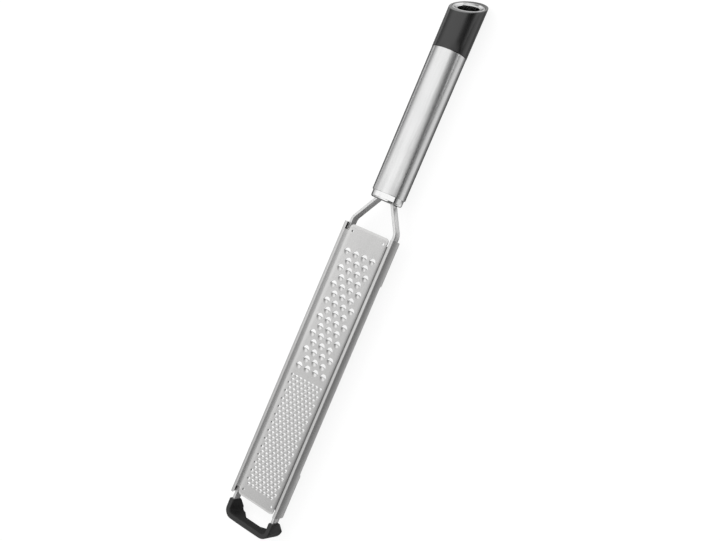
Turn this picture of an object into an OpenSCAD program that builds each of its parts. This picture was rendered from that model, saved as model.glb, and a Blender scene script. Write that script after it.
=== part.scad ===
// Rasp zester: tubular steel handle, U-shaped strip frame, toothed blade and rubber foot.
// X runs across, Y runs along towards the handle's end, Z points out of the blade's face.
// The origin is the middle of the footprint, on the surface that the tool lies on.

/* [Handle tube] */
// Length of the steel tube between the collar and the end cap
tube_length = 103; // [80:1:130]
// Outer diameter of the tube where the collar sits
tube_front_d = 24; // [22.5:0.1:25]
// Outer diameter of the tube at the end cap
tube_rear_d = 24.7; // [23:0.1:25]
// Wall of the tube
tube_wall = 0.7; // [0.5:0.1:1]

/* [Collar and core] */
// Length of polished collar that shows in front of the tube
collar_length = 4.9; // [4:0.1:8]
// Length of collar hidden inside the tube
collar_insert = 9; // [6:0.5:14]
// Wall of the collar
collar_wall = 1; // [0.6:0.1:1.2]
// Thickness of the collar's front floor
collar_floor = 1.5; // [1:0.1:2]
// Radius of the rounded front edge of the collar
collar_edge_r = 1.3; // [0.5:0.1:1.8]
// Length of the plastic core behind the collar
core_length = 44; // [36:1:60]

/* [End cap] */
// Length of the cap along its longest side
cap_length = 41.4; // [36:0.1:50]
// Diameter of the cap where it meets the tube
cap_front_d = 25; // [24.8:0.1:27]
// Diameter of the cap at its end
cap_rear_d = 25.5; // [24.8:0.1:27.5]
// Angle of the slanted end, away from a square cut
cap_slant = 33; // [25:1:38]
// Length of the plug that holds the cap in the tube
cap_plug = 16; // [10:1:25]

/* [Hanging eye] */
// Outer diameter of the ring in the slanted end
ring_d = 22.4; // [19:0.1:22.8]
// Diameter of the hole that a hook goes through
eye_d = 14.8; // [10:0.1:16]
// Thickness of the ring's rim
ring_t = 1.2; // [0.8:0.1:2]
// How far the ring dips towards its hole
ring_dish = 0.7; // [0.2:0.1:0.8]
// Depth of the ring's liner below the end face
liner_length = 6; // [4:0.5:8]
// Wall of the ring's liner
liner_wall = 0.7; // [0.5:0.1:1]
// Depth of the eye's bore, which breaks out of the underside
eye_depth = 24; // [20:0.5:26]

/* [Frame] */
// Thickness of the frame's strip
strip_t = 1.9; // [1:0.1:2]
// Depth of the strip, which stands on edge
strip_depth = 6.9; // [5:0.1:8]
// Drop of the strip's top edge below the blade's face
strip_drop = 0.7; // [0.2:0.1:3.4]
// Distance between the two tangs, middle to middle
tang_spacing = 10.4; // [8:0.1:15.5]
// Length of the tangs inside the core
tang_length = 30; // [20:1:34]
// Length of the slanted neck between the blade and the collar
neck_length = 22.2; // [18:0.1:30]
// Length of straight strip between the blade and the neck's bend
neck_straight = 4.1; // [3:0.1:9]
// Bend radius at the tangs
tang_bend_r = 2.5; // [1.5:0.1:3]
// Bend radius at the neck
neck_bend_r = 8; // [3:0.1:10]
// Bend radius at the foot
foot_bend_r = 4.6; // [3:0.1:5]

/* [Blade] */
// Height of the blade's face above the handle's axis
face_height = 3.9; // [2:0.1:5]
// Length of the blade
blade_length = 203.7; // [200:0.1:230]
// Width of the blade over its rails
blade_w = 40.7; // [39:0.1:44]
// Thickness of the blade's sheet
sheet_t = 0.5; // [0.4:0.05:0.6]
// Width of each rail's flat top, between the skirt and the bend down to the plate
rail_top_w = 2.35; // [2:0.05:3]
// Outer radius of the bends at the plate's sides
side_bend_r = 5.5; // [4:0.1:6]
// Rise of the rails above the plate
rail_rise = 2.4; // [1.2:0.1:2.6]
// Drop of the rails' outer skirt below the plate's face
skirt_drop = 6.5; // [3:0.1:7]
// Drop of the clasping tabs below the plate's face
tab_drop = 8; // [7:0.1:8.8]
// Length of each clasping tab
tab_length = 32; // [20:0.5:45]
// Corner radius of the tabs
tab_corner_r = 1; // [0.5:0.1:1.5]
// Radius of the plate's free corners
corner_r = 2.6; // [2:0.1:4]
// Length of the slit that frees each corner from its rail
slit_length = 5; // [3.8:0.1:6]
// Width of the slit between each corner and its rail
slit_w = 2.4; // [1.5:0.1:2.5]
// Distance of the plate's upper edge inside the rails' ends
plate_inset_top = 0.1; // [0.1:0.1:2]
// Distance of the plate's lower edge inside the rails' ends
plate_inset_low = 0.1; // [0.1:0.1:2]
// Diameter of the small hole in each corner
corner_hole_d = 1.7; // [1:0.1:2]
// Distance of the corner holes from the slits
corner_hole_side = 2.8; // [2.2:0.1:4]
// Distance of the corner holes from the plate's edges
corner_hole_inset = 4.7; // [3:0.1:6]

/* [Coarse teeth] */
// Length of the blade that is given to rows of coarse teeth
coarse_field = 86; // [50:0.5:100]
// Distance between coarse teeth in a row
coarse_pitch = 7; // [5.5:0.1:8]
// Width of a coarse tooth's opening
coarse_w = 4.5; // [3.5:0.1:4.8]
// Length of a coarse tooth's opening
coarse_l = 4.4; // [3.6:0.1:4.8]
// Height of a coarse tooth's cutting edge
coarse_rise = 1.1; // [0.6:0.1:1.4]
// Distance of the first coarse row's tips from the blade's upper end
coarse_start = 16.3; // [12:0.1:17]

/* [Fine teeth] */
// Least distance between the fields of coarse and fine teeth
field_gap = 4; // [2:0.5:20]
// Distance between fine teeth in a row
fine_pitch = 3.5; // [2.8:0.05:4.5]
// Width of a fine tooth's opening
fine_w = 2.1; // [1.5:0.1:2.3]
// Length of a fine tooth's opening
fine_l = 2.1; // [1.6:0.1:2.3]
// Height of a fine tooth's cutting edge
fine_rise = 0.6; // [0.4:0.1:0.8]
// Distance of the last fine row's tips from the blade's lower end
fine_end = 11.4; // [10:0.1:16]

/* [Foot] */
// Distance from the blade's lower end to the foot's outer face
foot_reach = 18.2; // [16:0.1:24]
// Length of the foot along the tool
foot_length = 13.1; // [12:0.1:16]
// Rubber wall outside the strip
foot_outer_wall = 1.15; // [0.6:0.05:1.2]
// Rubber wall inside the strip
foot_inner_wall = 0.6; // [0.5:0.1:1.5]
// Rubber wall above and below the strip
foot_skin = 1.4; // [0.8:0.1:1.5]
// Inner corner radius of the foot
foot_inner_r = 2.8; // [2.5:0.1:9.5]
// Width of each resting pad
pad_w = 8.5; // [6:0.1:10]
// Length of the flat underside of each resting pad
pad_flat = 4.5; // [3:0.1:6]
// Height of the bevel at the pads' outer end
pad_bevel = 2; // [1:0.1:3]

/* [Fits] */
// Gap between pieces that slide together
fit_gap = 0.1; // [0.05:0.01:0.15]
// Gap between the blade's tabs and the strip
seat_gap = 0.75; // [0.2:0.05:0.8]
// Room around the strip where it leaves the collar
slot_gap = 0.4; // [0.3:0.05:0.5]

/* [Hidden] */
$fn = 64;
// One overrun for all cuts
over = 1;
// Number of short sides that draw a bend
bend_steps = 12;
// Share of the sheet's thickness left in a tooth's tongue
tongue_t_share = 0.7;
// Share of a tooth's opening taken by its tongue, across and along
tongue_w_share = 0.84;
tongue_l_share = 0.72;
// Share of a tongue's length that runs back into the plate
tongue_root_share = 0.12;
// Share of its thickness that rounds the liner's lip and the ring's rim
lip_share = 0.4;

// Heights above the surface that the tool lies on
axis_z = cap_rear_d / 2;
face_z = axis_z + face_height;
strip_top_z = face_z - strip_drop;
strip_low_z = strip_top_z - strip_depth;

// Places along the tool, from the foot's outer face to the cap's tip
total_length = foot_reach + blade_length + neck_length + collar_length + tube_length + cap_length;
foot_y = -total_length / 2;
blade_low_y = foot_y + foot_reach;
blade_top_y = blade_low_y + blade_length;
plate_low_y = blade_low_y + plate_inset_low;
plate_top_y = blade_top_y - plate_inset_top;
collar_y = blade_top_y + neck_length;
tube_y = collar_y + collar_length;
cap_y = tube_y + tube_length;
eye_y = cap_y + cap_length - cap_rear_d / 2 * tan(cap_slant);

// Radii and places across
collar_r = tube_front_d / 2 - tube_wall - fit_gap;
wall_t = 2 * sheet_t;
strip_x = blade_w / 2 - wall_t - seat_gap - strip_t / 2;
tang_x = tang_spacing / 2;
tang_bend_y = collar_y + collar_floor + slot_gap;
neck_bend_y = blade_top_y + neck_straight;
neck_slope = (strip_x - tang_x) / (tang_bend_y - neck_bend_y);
rail_in_x = blade_w / 2 - rail_top_w;
plate_half = rail_in_x - sqrt(side_bend_r ^ 2 - (side_bend_r - rail_rise) ^ 2);
corner_x = rail_in_x - slit_w;
foot_strip_y = foot_y + foot_outer_wall + fit_gap + strip_t / 2;
foot_out_x = strip_x + strip_t / 2 + fit_gap + foot_outer_wall;
foot_in_x = strip_x - strip_t / 2 - fit_gap - foot_inner_wall;
foot_in_y = foot_strip_y + strip_t / 2 + fit_gap + foot_inner_wall;
foot_rim_y = foot_y + foot_length;
foot_top_z = strip_top_z + fit_gap + foot_skin;
foot_low_z = strip_low_z - fit_gap - foot_skin;
foot_corner_r = foot_bend_r + strip_t / 2 + fit_gap + foot_outer_wall;

// Rows of teeth, and teeth in the long rows: as many as the fields have room for
coarse_row_pitch = coarse_pitch * sqrt(3) / 2;
fine_row_pitch = fine_pitch * sqrt(3) / 2;
coarse_rows = floor(coarse_field / coarse_row_pitch) + 1;
coarse_reach = coarse_start + (coarse_rows - 1) * coarse_row_pitch + coarse_l;
fine_field = blade_length - coarse_reach - field_gap - fine_end;
fine_rows = floor(fine_field / fine_row_pitch) + 1;
coarse_per_row = floor((2 * plate_half - coarse_w) / coarse_pitch) + 1;
fine_per_row = floor((2 * plate_half - fine_w) / fine_pitch) + 1;

// Outer radius of the tube at a distance from its front end
function tube_r(s) = (tube_front_d + (tube_rear_d - tube_front_d) * s / tube_length) / 2;

// Radius that slides into the tube at a distance from its front end
function plug_r(s) = tube_r(s) - tube_wall - fit_gap;

function unit(v) = v / norm(v);
function left_of(d) = [-d.y, d.x];
function turned(v, a) = [v.x * cos(a) - v.y * sin(a), v.x * sin(a) + v.y * cos(a)];

// Rounded corner of a line a-b-c, as pairs of a point and its left normal
function corner(a, b, c, r) =
    let (
        d1 = unit(b - a),
        d2 = unit(c - b),
        turn = atan2(d1.x * d2.y - d1.y * d2.x, d1 * d2),
        reach = r * tan(abs(turn) / 2),
        side = sign(turn),
        centre = b - d1 * reach + side * r * left_of(d1)
    )
    [for (i = [0 : bend_steps])
        let (n = turned(left_of(d1), turn * i / bend_steps))
        [centre - side * r * n, n]];

// Middle line of the frame's strip, from the left tang's end round to the right one's
function frame_line() =
    let (
        a = [-tang_x, tang_bend_y + tang_length],
        b = [-tang_x, tang_bend_y],
        c = [-strip_x, neck_bend_y],
        d = [-strip_x, foot_strip_y],
        e = [strip_x, foot_strip_y],
        f = [strip_x, neck_bend_y],
        g = [tang_x, tang_bend_y],
        h = [tang_x, tang_bend_y + tang_length]
    )
    concat(
        [[a, [1, 0]]],
        corner(a, b, c, tang_bend_r),
        corner(b, c, d, neck_bend_r),
        corner(c, d, e, foot_bend_r),
        corner(d, e, f, foot_bend_r),
        corner(e, f, g, neck_bend_r),
        corner(f, g, h, tang_bend_r),
        [[h, [-1, 0]]]
    );

// Band of a width round a middle line
module band(line, w) {
    last = len(line) - 1;
    polygon(concat(
        [for (p = line) p[0] + p[1] * w / 2],
        [for (i = [last : -1 : 0]) line[i][0] - line[i][1] * w / 2]
    ));
}

// Round solid along Y, from one radius to another
module round_y(y, length, r1, r2) {
    translate([0, y, axis_z])
        rotate([-90, 0, 0])
            cylinder(h = length, r1 = r1, r2 = r2);
}

module handle_tube() {
    color("silver")
    difference() {
        round_y(tube_y, tube_length, tube_r(0), tube_r(tube_length));
        round_y(tube_y - over, tube_length + 2 * over,
            tube_r(-over) - tube_wall, tube_r(tube_length + over) - tube_wall);
    }
}

// Round cup with a rounded front edge, whose legs' slots are cut through its floor
module collar() {
    whole = collar_length + collar_insert;
    color("gainsboro")
    difference() {
        translate([0, collar_y, axis_z])
            rotate([-90, 0, 0])
                rotate_extrude()
                    difference() {
                        square([collar_r, whole]);
                        translate([-over, collar_floor])
                            square([collar_r - collar_wall + over, whole]);
                        translate([collar_r - collar_edge_r, 0])
                            difference() {
                                translate([0, -over])
                                    square([collar_edge_r + over, collar_edge_r + over]);
                                translate([0, collar_edge_r])
                                    circle(r = collar_edge_r);
                            }
                    }
        for (side = [-1, 1])
            collar_slot(side);
    }
}

// Slot for one leg, which takes the leg's slant across the collar's floor
module collar_slot(side) {
    slant_x = tang_x + neck_slope * (tang_bend_y - collar_y);
    inner = tang_x - strip_t / 2 - slot_gap;
    outer = slant_x + strip_t / 2 / cos(atan(neck_slope)) + slot_gap;
    middle = (inner + outer) / 2;
    translate([side * middle, collar_y + (collar_floor - over) / 2, (strip_top_z + strip_low_z) / 2])
        cube([outer - inner, collar_floor + over, strip_depth + 2 * slot_gap], center = true);
}

module tang_core() {
    color("dimgray")
    difference() {
        round_y(tube_y + collar_insert, core_length,
            plug_r(collar_insert), plug_r(collar_insert + core_length));
        for (side = [-1, 1])
            translate([
                side * tang_x - strip_t / 2 - fit_gap,
                tube_y + collar_insert - over,
                strip_low_z - fit_gap
            ])
                cube([
                    strip_t + 2 * fit_gap,
                    tang_bend_y + tang_length + fit_gap - tube_y - collar_insert + over,
                    strip_depth + 2 * fit_gap
                ]);
    }
}

// Moves its children to the slanted end face, with Z out of the face
module on_end_face() {
    translate([0, eye_y, axis_z])
        rotate([-90 + cap_slant, 0, 0])
            children();
}

module end_cap() {
    color("black")
    difference() {
        union() {
            round_y(cap_y, cap_length, cap_front_d / 2, cap_rear_d / 2);
            round_y(cap_y - cap_plug, cap_plug + over,
                plug_r(tube_length - cap_plug), plug_r(tube_length));
        }
        on_end_face()
            translate([-cap_rear_d, -cap_rear_d, 0])
                cube([2 * cap_rear_d, 2 * cap_rear_d, cap_length]);
        on_end_face() {
            translate([0, 0, -ring_t - fit_gap])
                cylinder(h = ring_t + fit_gap + over, d = ring_d + 2 * fit_gap);
            translate([0, 0, -liner_length - fit_gap])
                cylinder(h = liner_length, d = eye_d + 2 * liner_wall + 2 * fit_gap);
            translate([0, 0, -eye_depth])
                cylinder(h = eye_depth, d = eye_d);
        }
    }
}

module eye_ring() {
    lip = liner_wall * lip_share;
    rim = ring_t * lip_share;
    r_in = eye_d / 2;
    r_out = ring_d / 2;
    color("lightgray")
    on_end_face()
        rotate_extrude()
            polygon([
                [r_in, -liner_length],
                [r_in + liner_wall, -liner_length],
                [r_in + liner_wall, -ring_t],
                [r_out, -ring_t],
                [r_out, -rim],
                [r_out - rim, 0],
                [r_in + liner_wall, -ring_dish],
                [r_in, -ring_dish - lip]
            ]);
}

module frame_strip() {
    color("darkgray")
    translate([0, 0, strip_low_z])
        linear_extrude(height = strip_depth)
            band(frame_line(), strip_t);
}

// Section of one rail, to the right of the flat plate: bend, top and outer skirt
module rail_section() {
    top_a = acos((side_bend_r - rail_rise) / side_bend_r);
    under_r = side_bend_r + sheet_t;
    under_a = acos((side_bend_r - rail_rise + sheet_t) / under_r);
    polygon(concat(
        [for (i = [0 : bend_steps])
            let (a = top_a * i / bend_steps)
            [plate_half + side_bend_r * sin(a), side_bend_r * (1 - cos(a))]],
        [
            [blade_w / 2 - sheet_t, rail_rise],
            [blade_w / 2, rail_rise - sheet_t],
            [blade_w / 2, -skirt_drop],
            [blade_w / 2 - wall_t, -skirt_drop],
            [blade_w / 2 - wall_t, rail_rise - sheet_t]
        ],
        [for (i = [bend_steps : -1 : 0])
            let (a = under_a * i / bend_steps)
            [plate_half + under_r * sin(a), side_bend_r - under_r * cos(a)]]
    ));
}

// Skirt's longer tab, drawn over its length and drop
module tab_outline() {
    union() {
        square([tab_length, skirt_drop]);
        translate([tab_corner_r, 0])
            square([tab_length - 2 * tab_corner_r, tab_drop]);
        square([tab_length, tab_drop - tab_corner_r]);
        for (y = [tab_corner_r, tab_length - tab_corner_r])
            translate([y, tab_drop - tab_corner_r])
                circle(r = tab_corner_r);
    }
}

// Right rail with its two tabs, over the blade's length
module rail() {
    translate([0, blade_top_y, face_z])
        rotate([90, 0, 0])
            linear_extrude(height = blade_length)
                rail_section();
    for (y = [blade_low_y, blade_top_y - tab_length])
        translate([blade_w / 2 - wall_t, y, face_z])
            rotate([0, 90, 0])
                linear_extrude(height = wall_t)
                    rotate(90)
                        mirror([0, 1])
                            tab_outline();
}

// Places of the teeth of one field, middle of the field at x = 0, first row at y = 0
function tooth_places(rows, per_row, pitch, row_pitch) = [
    for (row = [0 : rows - 1])
        let (count = per_row - row % 2)
        for (i = [0 : count - 1])
            [(i - (count - 1) / 2) * pitch, -row * row_pitch]
];

// Opening or tongue with a round tip at the origin, reaching back along -Y
module tooth_outline(w, l) {
    translate([0, -w / 2])
        circle(d = w);
    translate([-w / 2, -l])
        square([w, l - w / 2]);
}

// Tongue that rises towards its round tip, from the back of its opening
module tongue(w, l, rise) {
    tl = l * tongue_l_share;
    root = l * tongue_root_share;
    t = sheet_t * tongue_t_share;
    translate([0, -l, face_z - sheet_t / 2])
        rotate([asin(rise / tl), 0, 0])
            translate([0, tl, -t / 2])
                linear_extrude(height = t)
                    tooth_outline(w * tongue_w_share, tl + root);
}

// Field of openings, drawn flat, and the same field of tongues
module openings(places, start_y, w, l) {
    for (p = places)
        translate([p.x, start_y + p.y])
            tooth_outline(w, l);
}

module tongues(places, start_y, w, l, rise) {
    for (p = places)
        translate([p.x, start_y + p.y, 0])
            tongue(w, l, rise);
}

// Waste at one end of the plate, whose edge is y = 0: what lies beyond that edge, the two
// round corners, the slits beside the rails and the corner holes
module end_waste(inset) {
    translate([-rail_in_x, 0])
        square([2 * rail_in_x, inset + over]);
    for (side = [0, 1])
        mirror([side, 0]) {
            translate([corner_x - corner_r, -corner_r])
                difference() {
                    square([corner_r, corner_r + over]);
                    circle(r = corner_r);
                }
            translate([corner_x, -slit_length])
                square([slit_w, slit_length + over]);
            translate([corner_x - corner_hole_side, -corner_hole_inset])
                circle(d = corner_hole_d);
        }
}

// Flat plate with its openings, drawn flat
module plate(coarse, coarse_y, fine, fine_y) {
    difference() {
        polygon([
            [-plate_half, plate_low_y],
            [plate_half, plate_low_y],
            [plate_half, plate_top_y],
            [-plate_half, plate_top_y]
        ]);
        openings(coarse, coarse_y, coarse_w, coarse_l);
        openings(fine, fine_y, fine_w, fine_l);
    }
}

module blade() {
    coarse = tooth_places(coarse_rows, coarse_per_row, coarse_pitch, coarse_row_pitch);
    fine = tooth_places(fine_rows, fine_per_row, fine_pitch, fine_row_pitch);
    coarse_y = blade_top_y - coarse_start;
    fine_y = blade_low_y + fine_end + (fine_rows - 1) * fine_row_pitch;
    waste_h = rail_rise + sheet_t + 2 * over;
    color("lightsteelblue")
    difference() {
        union() {
            translate([0, 0, face_z - sheet_t])
                linear_extrude(height = sheet_t)
                    plate(coarse, coarse_y, fine, fine_y);
            rail();
            mirror([1, 0, 0])
                rail();
            tongues(coarse, coarse_y, coarse_w, coarse_l, coarse_rise);
            tongues(fine, fine_y, fine_w, fine_l, fine_rise);
        }
        translate([0, plate_top_y, face_z - sheet_t - over])
            linear_extrude(height = waste_h)
                end_waste(plate_inset_top);
        translate([0, plate_low_y, face_z - sheet_t - over])
            linear_extrude(height = waste_h)
                mirror([0, 1])
                    end_waste(plate_inset_low);
    }
}

// Plan of the foot: a U between an outer and an inner rounded line
module foot_plan() {
    outer = concat(
        [[-foot_out_x, foot_rim_y]],
        [for (p = corner([-foot_out_x, foot_rim_y], [-foot_out_x, foot_y], [foot_out_x, foot_y],
            foot_corner_r)) p[0]],
        [for (p = corner([-foot_out_x, foot_y], [foot_out_x, foot_y], [foot_out_x, foot_rim_y],
            foot_corner_r)) p[0]],
        [[foot_out_x, foot_rim_y]]
    );
    inner = concat(
        [[foot_in_x, foot_rim_y]],
        [for (p = corner([foot_in_x, foot_rim_y], [foot_in_x, foot_in_y], [-foot_in_x, foot_in_y],
            foot_inner_r)) p[0]],
        [for (p = corner([foot_in_x, foot_in_y], [-foot_in_x, foot_in_y], [-foot_in_x, foot_rim_y],
            foot_inner_r)) p[0]],
        [[-foot_in_x, foot_rim_y]]
    );
    polygon(concat(outer, inner));
}

// Side view of the foot's two corners, which reach down to the resting surface
module pad_side() {
    polygon([
        [foot_rim_y, foot_low_z],
        [foot_rim_y, foot_top_z],
        [foot_y, foot_top_z],
        [foot_y, pad_bevel],
        [foot_y + pad_bevel, 0],
        [foot_y + pad_bevel + pad_flat, 0]
    ]);
}

module foot() {
    color("black")
    difference() {
        union() {
            translate([0, 0, foot_low_z])
                linear_extrude(height = foot_top_z - foot_low_z)
                    foot_plan();
            for (side = [-1, 1])
                intersection() {
                    linear_extrude(height = foot_top_z)
                        foot_plan();
                    translate([side * (foot_out_x - pad_w / 2) - pad_w / 2, 0, 0])
                        rotate([90, 0, 90])
                            linear_extrude(height = pad_w)
                                pad_side();
                }
        }
        translate([0, 0, strip_low_z - fit_gap])
            linear_extrude(height = strip_depth + 2 * fit_gap)
                band(frame_line(), strip_t + 2 * fit_gap);
    }
}

handle_tube();
collar();
tang_core();
end_cap();
eye_ring();
frame_strip();
blade();
foot();
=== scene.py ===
"""Looks of the rasp zester: every visible piece as a worked-out surface with its own finish."""

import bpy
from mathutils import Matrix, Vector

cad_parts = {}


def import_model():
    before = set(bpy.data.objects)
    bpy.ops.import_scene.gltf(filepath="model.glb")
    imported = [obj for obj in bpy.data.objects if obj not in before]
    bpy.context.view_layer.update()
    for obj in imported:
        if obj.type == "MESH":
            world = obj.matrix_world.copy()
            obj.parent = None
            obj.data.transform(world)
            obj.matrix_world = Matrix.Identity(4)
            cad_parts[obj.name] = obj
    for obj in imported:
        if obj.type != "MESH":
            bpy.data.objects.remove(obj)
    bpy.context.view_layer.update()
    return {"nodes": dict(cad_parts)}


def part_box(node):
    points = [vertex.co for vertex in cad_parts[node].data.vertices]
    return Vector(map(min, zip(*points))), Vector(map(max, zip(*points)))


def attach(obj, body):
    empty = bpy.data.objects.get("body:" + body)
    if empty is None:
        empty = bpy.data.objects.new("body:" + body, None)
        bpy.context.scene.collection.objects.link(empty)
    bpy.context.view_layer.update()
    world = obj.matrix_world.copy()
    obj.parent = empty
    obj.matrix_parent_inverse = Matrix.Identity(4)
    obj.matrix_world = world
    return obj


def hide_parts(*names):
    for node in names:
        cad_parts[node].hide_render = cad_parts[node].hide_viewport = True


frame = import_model()

import math
from collections import namedtuple

import bmesh
import bpy
import numpy as np
from mathutils import Matrix, Vector

MM = 0.001
WELD = 0.0005
SHARP_ANGLE = math.radians(33)
ROUNDING = 1e-9

# A turned profile's side longer than the first gets two points this far from its ends
HELD_SIDE = 2.0
HOLD = 0.1

# The grain values between which a finish goes from its darker and duller to its lighter and smoother end
TONE_SPAN = (0.3, 0.7)


def node_box(node):
    """Lowest and highest corner of a CAD node, in millimetres."""
    low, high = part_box(node)
    return np.array(low) / MM, np.array(high) / MM


# Boxes of the CAD nodes, from which the places along and across the tool follow
TUBE_LOW, TUBE_HIGH = node_box("handle_tube")
COLLAR_LOW, COLLAR_HIGH = node_box("collar")
CAP_LOW, CAP_HIGH = node_box("end_cap")
RING_HIGH = node_box("eye_ring")[1]
STRIP_LOW, STRIP_HIGH = node_box("frame_strip")
BLADE_LOW, BLADE_HIGH = node_box("blade")
FOOT_LOW, FOOT_HIGH = node_box("foot")

# Handle
AXIS_Z = CAP_HIGH[2] / 2
TUBE_FRONT_R = 12.0
TUBE_REAR_R = TUBE_HIGH[0]
TUBE_WALL = 0.7
TUBE_LIP_RADII = [0.15, 0.25, 0.25, 0.15]
TURN_STEPS = 160
COLLAR_R = COLLAR_HIGH[0]
COLLAR_WALL = 1.0
COLLAR_FLOOR = 1.5
COLLAR_EDGE_R = 1.3
COLLAR_LIP_R = 0.2
COLLAR_CORNER_R = 0.4
SLOT_GAP = 0.4
SLOT_CORNER_R = 0.5
CAP_FRONT_R = 12.5
CAP_REAR_R = CAP_HIGH[0]
CAP_SLANT = math.radians(33)
CAP_STEPS = 180
CAP_RIM = 0.55
CAP_FOOT_R = 0.3
PLUG_BEVEL = 0.6
RING_R = RING_HIGH[0]
EYE_R = 7.4
RING_T = 1.2
RING_DISH = 0.7
RING_FLAT = 1.1
RING_LIP = 0.5
RING_LIP_DROP = 0.15
RING_RADII = [0.15, 0.15, 0.1, 0.1, 0.35, 0.8, 0.5, 0.45]
BORE_STEPS = 144
LINER_LENGTH = 6.0
LINER_WALL = 0.7
EYE_DEPTH = 24.0
FIT_GAP = 0.1

# Frame and foot
STRIP_T = 1.9
STRIP_EDGE_R = 0.28
STRIP_X = STRIP_HIGH[0] - STRIP_T / 2
STRIP_TOP_Z = STRIP_HIGH[2]
STRIP_LOW_Z = STRIP_LOW[2]
TANG_X = 5.2
TANG_LENGTH = 30.0
TANG_BEND_R = 2.5
NECK_BEND_R = 8.0
FOOT_BEND_R = 4.6
NECK_STRAIGHT = 4.1
TANG_BEND_Y = COLLAR_LOW[1] + COLLAR_FLOOR + SLOT_GAP
NECK_BEND_Y = BLADE_HIGH[1] + NECK_STRAIGHT
FOOT_STRIP_Y = STRIP_LOW[1] + STRIP_T / 2
FOOT_OUTER_WALL = 1.15
FOOT_INNER_WALL = 0.6
FOOT_SKIN = 1.4
FOOT_INNER_R = 2.8
PAD_W = 8.5
PAD_FLAT = 4.5
PAD_BEVEL = 2.0
PAD_LEAD = 1.5
PAD_RUN = 3.5
FOOT_EDGE_R = 0.9
FOOT_BORE_R = 0.2
FOOT_RIM_R = 0.5

# Blade
RAIL_RISE = 2.4
RAIL_TOP_W = 2.35
FACE_Z = BLADE_HIGH[2] - RAIL_RISE
SHEET_T = 0.5
WALL_T = 1.0
BEND_R = 5.5
SKIRT_DROP = 6.5
TAB_DROP = FACE_Z - BLADE_LOW[2]
TAB_LENGTH = 32.0
TAB_CORNER_R = 1.0
RAIL_IN_X = BLADE_HIGH[0] - RAIL_TOP_W
PLATE_HALF = RAIL_IN_X - math.sqrt(BEND_R ** 2 - (BEND_R - RAIL_RISE) ** 2)
SLIT_W = 2.4
SLIT_LENGTH = 5.0
CORNER_X = RAIL_IN_X - SLIT_W
CORNER_R = 2.6
INSET_TOP = 0.1
INSET_LOW = 0.1
CORNER_HOLE_R = 0.85
CORNER_HOLE_X = CORNER_X - 2.8
CORNER_HOLE_INSET = 4.7
COARSE_START = 16.3
FINE_END = 11.4

# Teeth, in cells of sheet: their spacing and rows, a cell's quads across and down, the tooth's half width,
# how far the opening and the tongue reach ahead of its middle and the tongue behind it, the sheet left ahead
# of the opening, the rings' shares of the tongue, and the tongue's height
Tooth = namedtuple("Tooth", "pitch rows across down half_w tip free behind margin ring_shares rise")
COARSE = Tooth(7.0, 15, 8, 6, 2.55, 3.0, 1.25, 2.2, 0.6, (0, 0.35, 0.65, 0.85, 1), 1.1)
FINE = Tooth(3.5, 28, 4, 4, 1.28, 1.45, 0.35, 1.1, 0.35, (0, 0.5, 0.8, 1), 0.45)
FIELD_HALF = 2 * COARSE.pitch
FIELD_GAP_ROWS = 3
OPENING_POWER = 0.9
TONGUE_POWER = 1.5
TONGUE_MIDDLE_SHARE = 0.3
TONGUE_THIN_SHARE = 0.45
TONGUE_THIN_RISE = 0.6

# Rounding of the blade's section, places along it from its middle, and the plate's dish and lip
EDGE_R = 0.9
FOLD_R = 0.6
FOLD_X = PLATE_HALF + math.sqrt((BEND_R + FOLD_R) ** 2 - (BEND_R - RAIL_RISE + FOLD_R) ** 2)
BEND_A = math.asin((FOLD_X - PLATE_HALF) / (BEND_R + FOLD_R))
S_BEND = PLATE_HALF + BEND_R * BEND_A
S_FOLD = S_BEND + FOLD_R * BEND_A
S_TOP = S_FOLD + BLADE_HIGH[0] - EDGE_R - FOLD_X
S_EDGE = S_TOP + EDGE_R * math.pi / 2
DISH_SAG = 0.22
LIP_W = 1.6
LIP_DROP = 0.35
LIP_FADE = 1.5

# Rows of the blade's ends: shares of the reach beyond the slit's bottom, straight rows in millimetres, rows
# past the corner holes, and the grid's rows and columns round a hole
END_SHARES = np.array([1.0, 0.965, 0.91, 0.83, 0.72, 0.58, 0.45])
END_LEAST_SHARE = 0.35
END_STRAIGHT = np.array([1.6, 0.8])
CORNER_REACH = 3.0
HOLE_ROWS = np.array([0.65, 1.3])
INNER_ROWS = 10
OUTER_ROWS = 9
HOLE_COLUMNS = (13, 16)

# Rows down the rail's outer wall, as shares, and the round hem below them, as heights over its lower line
WALL_SHARES = np.array([0.06, 0.3, 0.6, 0.85])
HEM = np.array([WALL_T / 2, 0.3, 0.15, 0.05, 0.0])
HEM_LEAST = 0.02
WALL_ROW_LENGTH = 6.0

# Floor and studio. A ramp is: from, to, level before and level after. Places are in millimetres, lifts are in
# degrees, and a direction's share along the tool runs from -1 at the foot's end to 1
FLOOR_HALF = 4000.0
FLOOR_Z = -0.02
FLOOR_GREY = 0.17
FLOOR_GLOW = 0.88
# Ramps of the floor's glow in reflections: painted shadow under and beside the tool, painted light in bands
# round it
HANDLE_FROM = (30, 46)
UNDER_HANDLE = (23.5, 28, 0.2, 0.08)
UNDER_SKIRT = (22, 25, 0.14, 0.8)
BESIDE_SKIRT = (25.5, 28.5, 1.0, 0.12)
BESIDE_HANDLE = ((17, 25), (28, 120, 0.62, 0.08))
BESIDE_HANDLE_FROM = (30, 50)
NECK_ACROSS = ((3, 8, 0.22, 1.0), (-26, -20), (27, 20))
NECK_ALONG = ((24, 32), (54, 48))
FAR_LEFT = (-130, -60, 0.6, 0.0)
BEYOND_CAP = (192, 204, 0.0, 0.9)
FLAG_MIDDLE = (0.09, 0.21, 3.0, 31.0)
FLAG_EDGE_FROM = (0.03, 0.06, 6, 5)
FLAG_EDGE_TO = (0.03, 0.06, 9, 34)
FLAG_BELOW = (-2, -50)
FLAG_LEVEL = 0.04
BLADE_SIDE = (0.012, -0.012)
TUBE_SIDE = (0.03, 0.06)
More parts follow.
